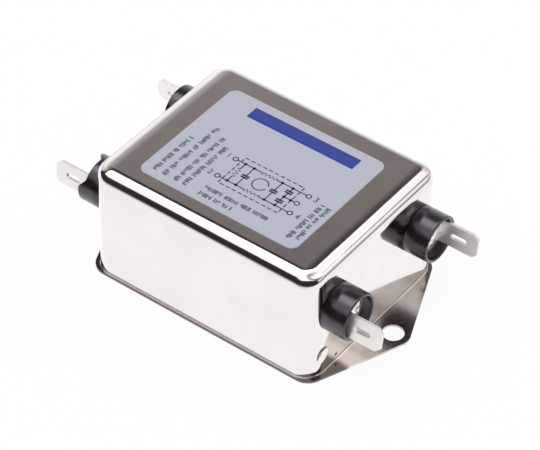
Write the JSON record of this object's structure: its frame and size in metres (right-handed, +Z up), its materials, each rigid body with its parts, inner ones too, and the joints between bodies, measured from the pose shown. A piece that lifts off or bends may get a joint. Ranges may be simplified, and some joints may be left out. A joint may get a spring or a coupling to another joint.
{
  "type": "rfi filter",
  "caption": "Chassis-mount mains interference filter in a drawn steel can with a flange and ears, with insulated quick-connect tabs on both ends",
  "frame": {"origin": "centre of the footprint, on the mounting face", "axes": "X along the length through both mounting holes, Y across the width, Z up out of the mounting face"},
  "size_m": [0.0938, 0.0514, 0.0318],
  "materials": {
    "case_steel": "bright plated drawn steel, slightly wavy",
    "cover_steel": "plated pressed steel",
    "label_film": "matte silver-grey film with a dark print",
    "black_moulding": "glossy black moulded plastic",
    "tinned_brass": "tin-plated brass, satin",
    "rivet_metal": "tin-plated brass",
    "solder": "wrinkled bright solder",
    "washer_board": "hard paper board",
    "liner_card": "insulating card",
    "potting": "cast epoxy",
    "board_laminate": "green laminate",
    "core_ferrite": "dark ferrite",
    "winding_copper": "enamelled copper wire",
    "divider_board": "hard paper board",
    "film_capacitor": "yellow moulded box",
    "disc_capacitor": "blue lacquered disc",
    "resistor_body": "lacquered film resistor",
    "wire_insulation": "flexible sleeving",
    "bare_copper": "bare copper"
  },
  "bodies": {
    "root": {"case_can": "case_steel", "bottom_cover": "cover_steel", "label": "label_film", "terminal_bushing_1": "black_moulding", "terminal_bushing_2": "black_moulding", "terminal_bushing_3": "black_moulding", "terminal_bushing_4": "black_moulding", "terminal_tab_1": "tinned_brass", "terminal_tab_2": "tinned_brass", "terminal_tab_3": "tinned_brass", "terminal_tab_4": "tinned_brass", "terminal_rivets": "rivet_metal", "terminal_solder": "solder", "inner_washers": "washer_board", "insulating_liner": "liner_card", "potting_compound": "potting", "circuit_board": "board_laminate", "choke_core": "core_ferrite", "choke_winding_1": "winding_copper", "choke_winding_2": "winding_copper", "choke_divider": "divider_board", "x_capacitor_1": "film_capacitor", "x_capacitor_2": "film_capacitor", "y_capacitor_1": "disc_capacitor", "y_capacitor_2": "disc_capacitor", "bleed_resistor": "resistor_body", "hookup_wire_1": "wire_insulation", "hookup_wire_2": "wire_insulation", "hookup_wire_3": "wire_insulation", "hookup_wire_4": "wire_insulation", "earth_wire": "bare_copper"}
  },
  "joints": []
}
